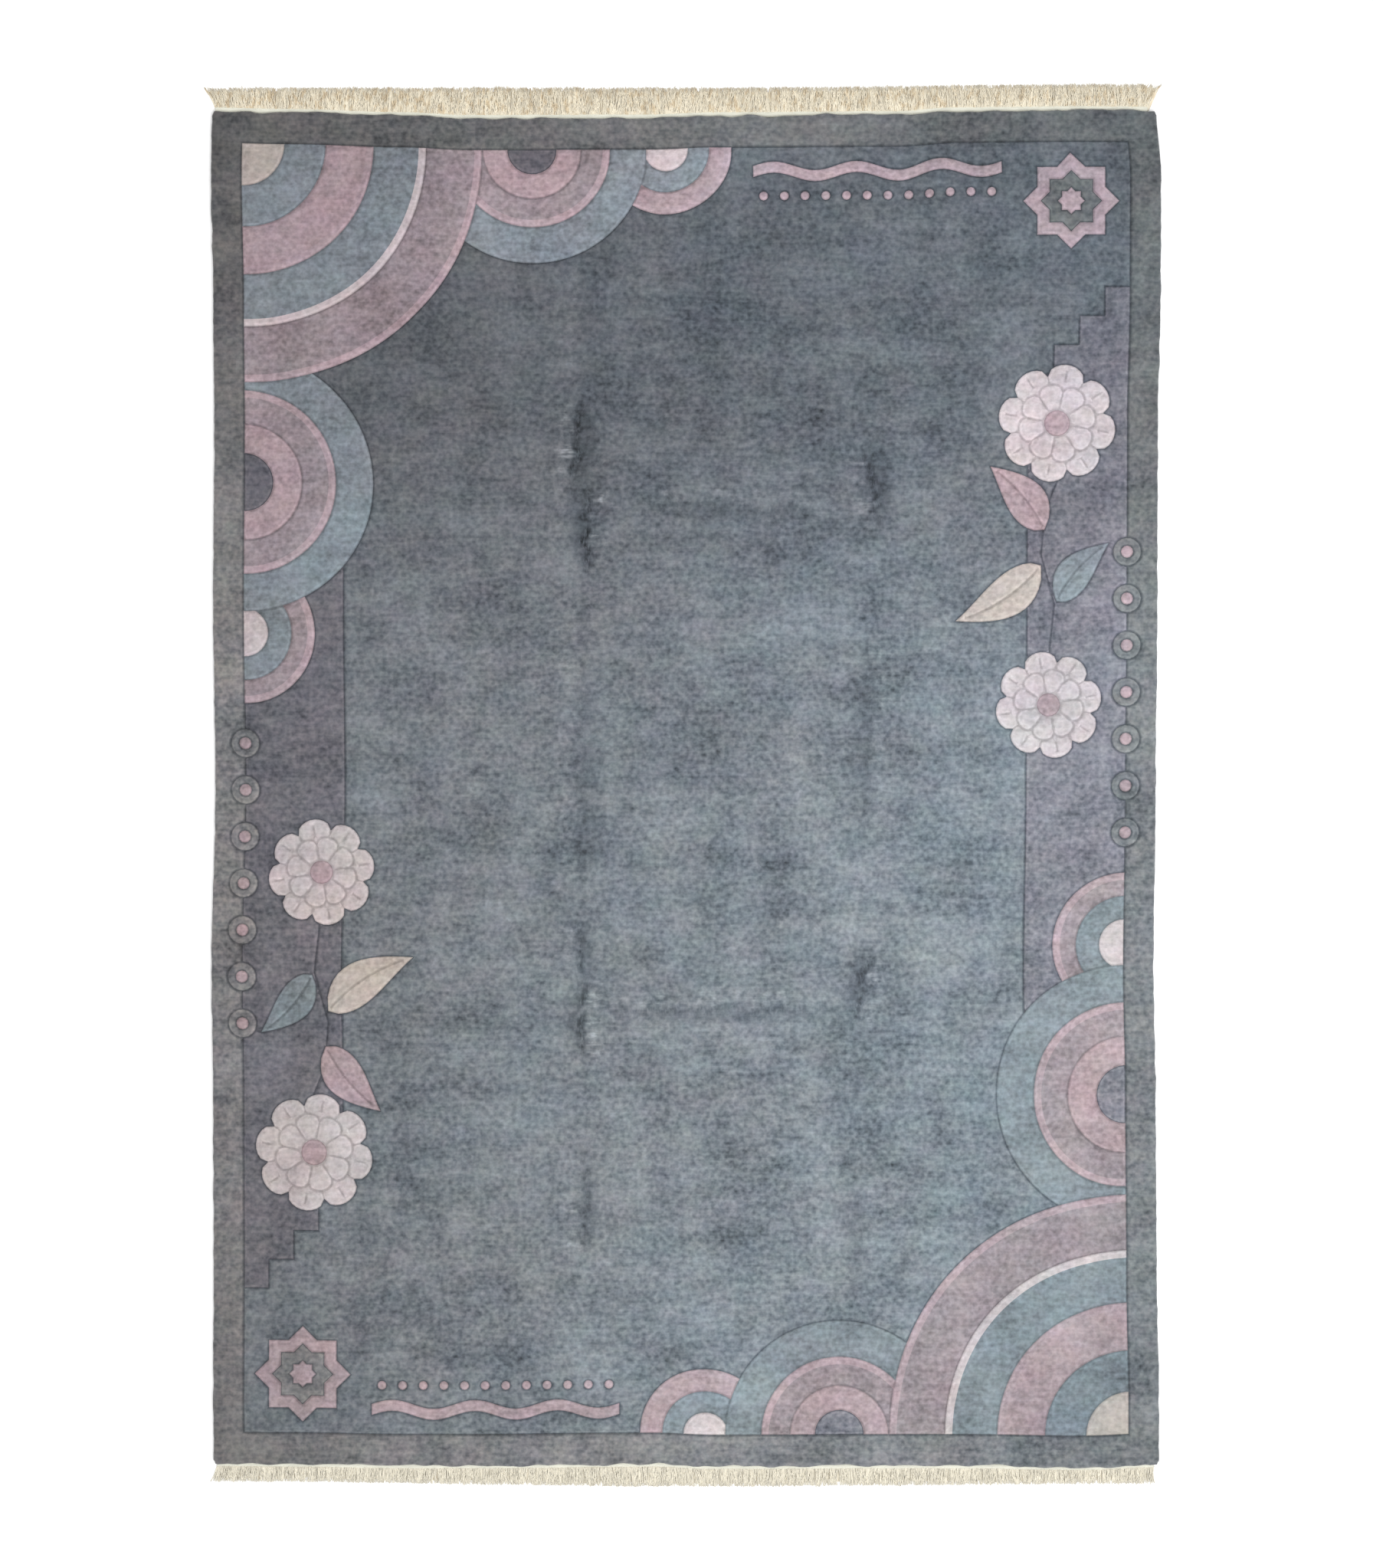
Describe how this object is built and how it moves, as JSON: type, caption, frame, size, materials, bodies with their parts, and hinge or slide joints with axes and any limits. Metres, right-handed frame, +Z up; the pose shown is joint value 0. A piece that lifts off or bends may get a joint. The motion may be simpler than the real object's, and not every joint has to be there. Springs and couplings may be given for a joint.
{
  "type": "nepalese rug",
  "caption": "Large rectangular hand-knotted wool rug lying flat, with lines carved into its pile, soft fold creases and a short cotton fringe on both ends.",
  "frame": {"origin": "on the floor, under the middle of the whole rug with its fringes", "axes": "+X across the rug, +Y along it towards its head, the end with the longer fringe, +Z up out of the pile"},
  "size_m": [1.7136, 2.5266, 0.014],
  "materials": {
    "wool_pile": "matte cut wool pile with a soft sheen",
    "cotton_warp": "matte undyed cotton yarn"
  },
  "bodies": {
    "root": {"pile_rug": "wool_pile", "head_fringe": "cotton_warp", "foot_fringe": "cotton_warp"}
  },
  "joints": []
}
